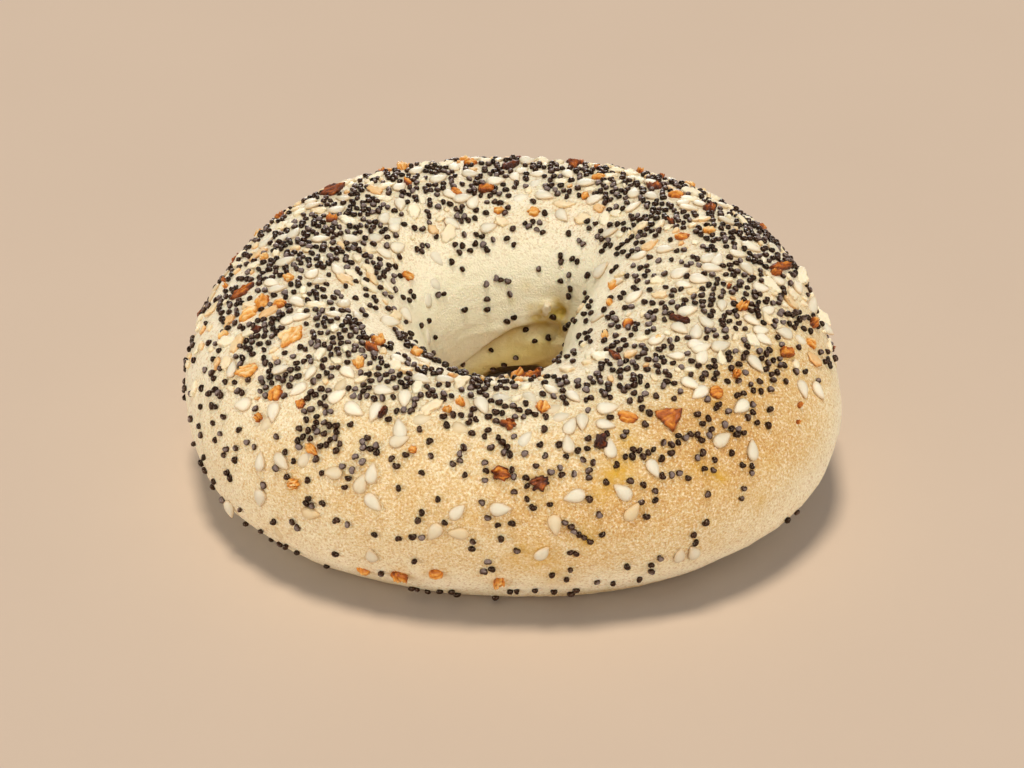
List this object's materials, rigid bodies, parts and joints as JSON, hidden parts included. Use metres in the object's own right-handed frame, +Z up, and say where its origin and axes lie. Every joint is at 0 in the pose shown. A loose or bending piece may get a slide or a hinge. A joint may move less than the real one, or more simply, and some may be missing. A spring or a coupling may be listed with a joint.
{
  "type": "everything bagel",
  "caption": "Whole baked bagel ring with an off-centre hole and a crust of poppy seeds, sesame seeds, and toasted onion and garlic flakes.",
  "frame": {"origin": "on the table under the middle of the bagel's bounding box", "axes": "+Z up through the hole, -Y towards the viewer of the picture, +X to the viewer's right"},
  "size_m": [0.1043, 0.1018, 0.0365],
  "materials": {
    "dough": "boiled and baked crust, pale gold, faintly glossy",
    "poppy_seed": "blue-black seed skin with a soft sheen",
    "sesame_seed": "hulled ivory seed, slightly waxy",
    "onion_flake": "toasted orange-brown onion flake, dry and translucent at its edges",
    "garlic_bit": "pale straw garlic bit, dry"
  },
  "bodies": {
    "root": {"bagel": "dough"}
  },
  "joints": []
}
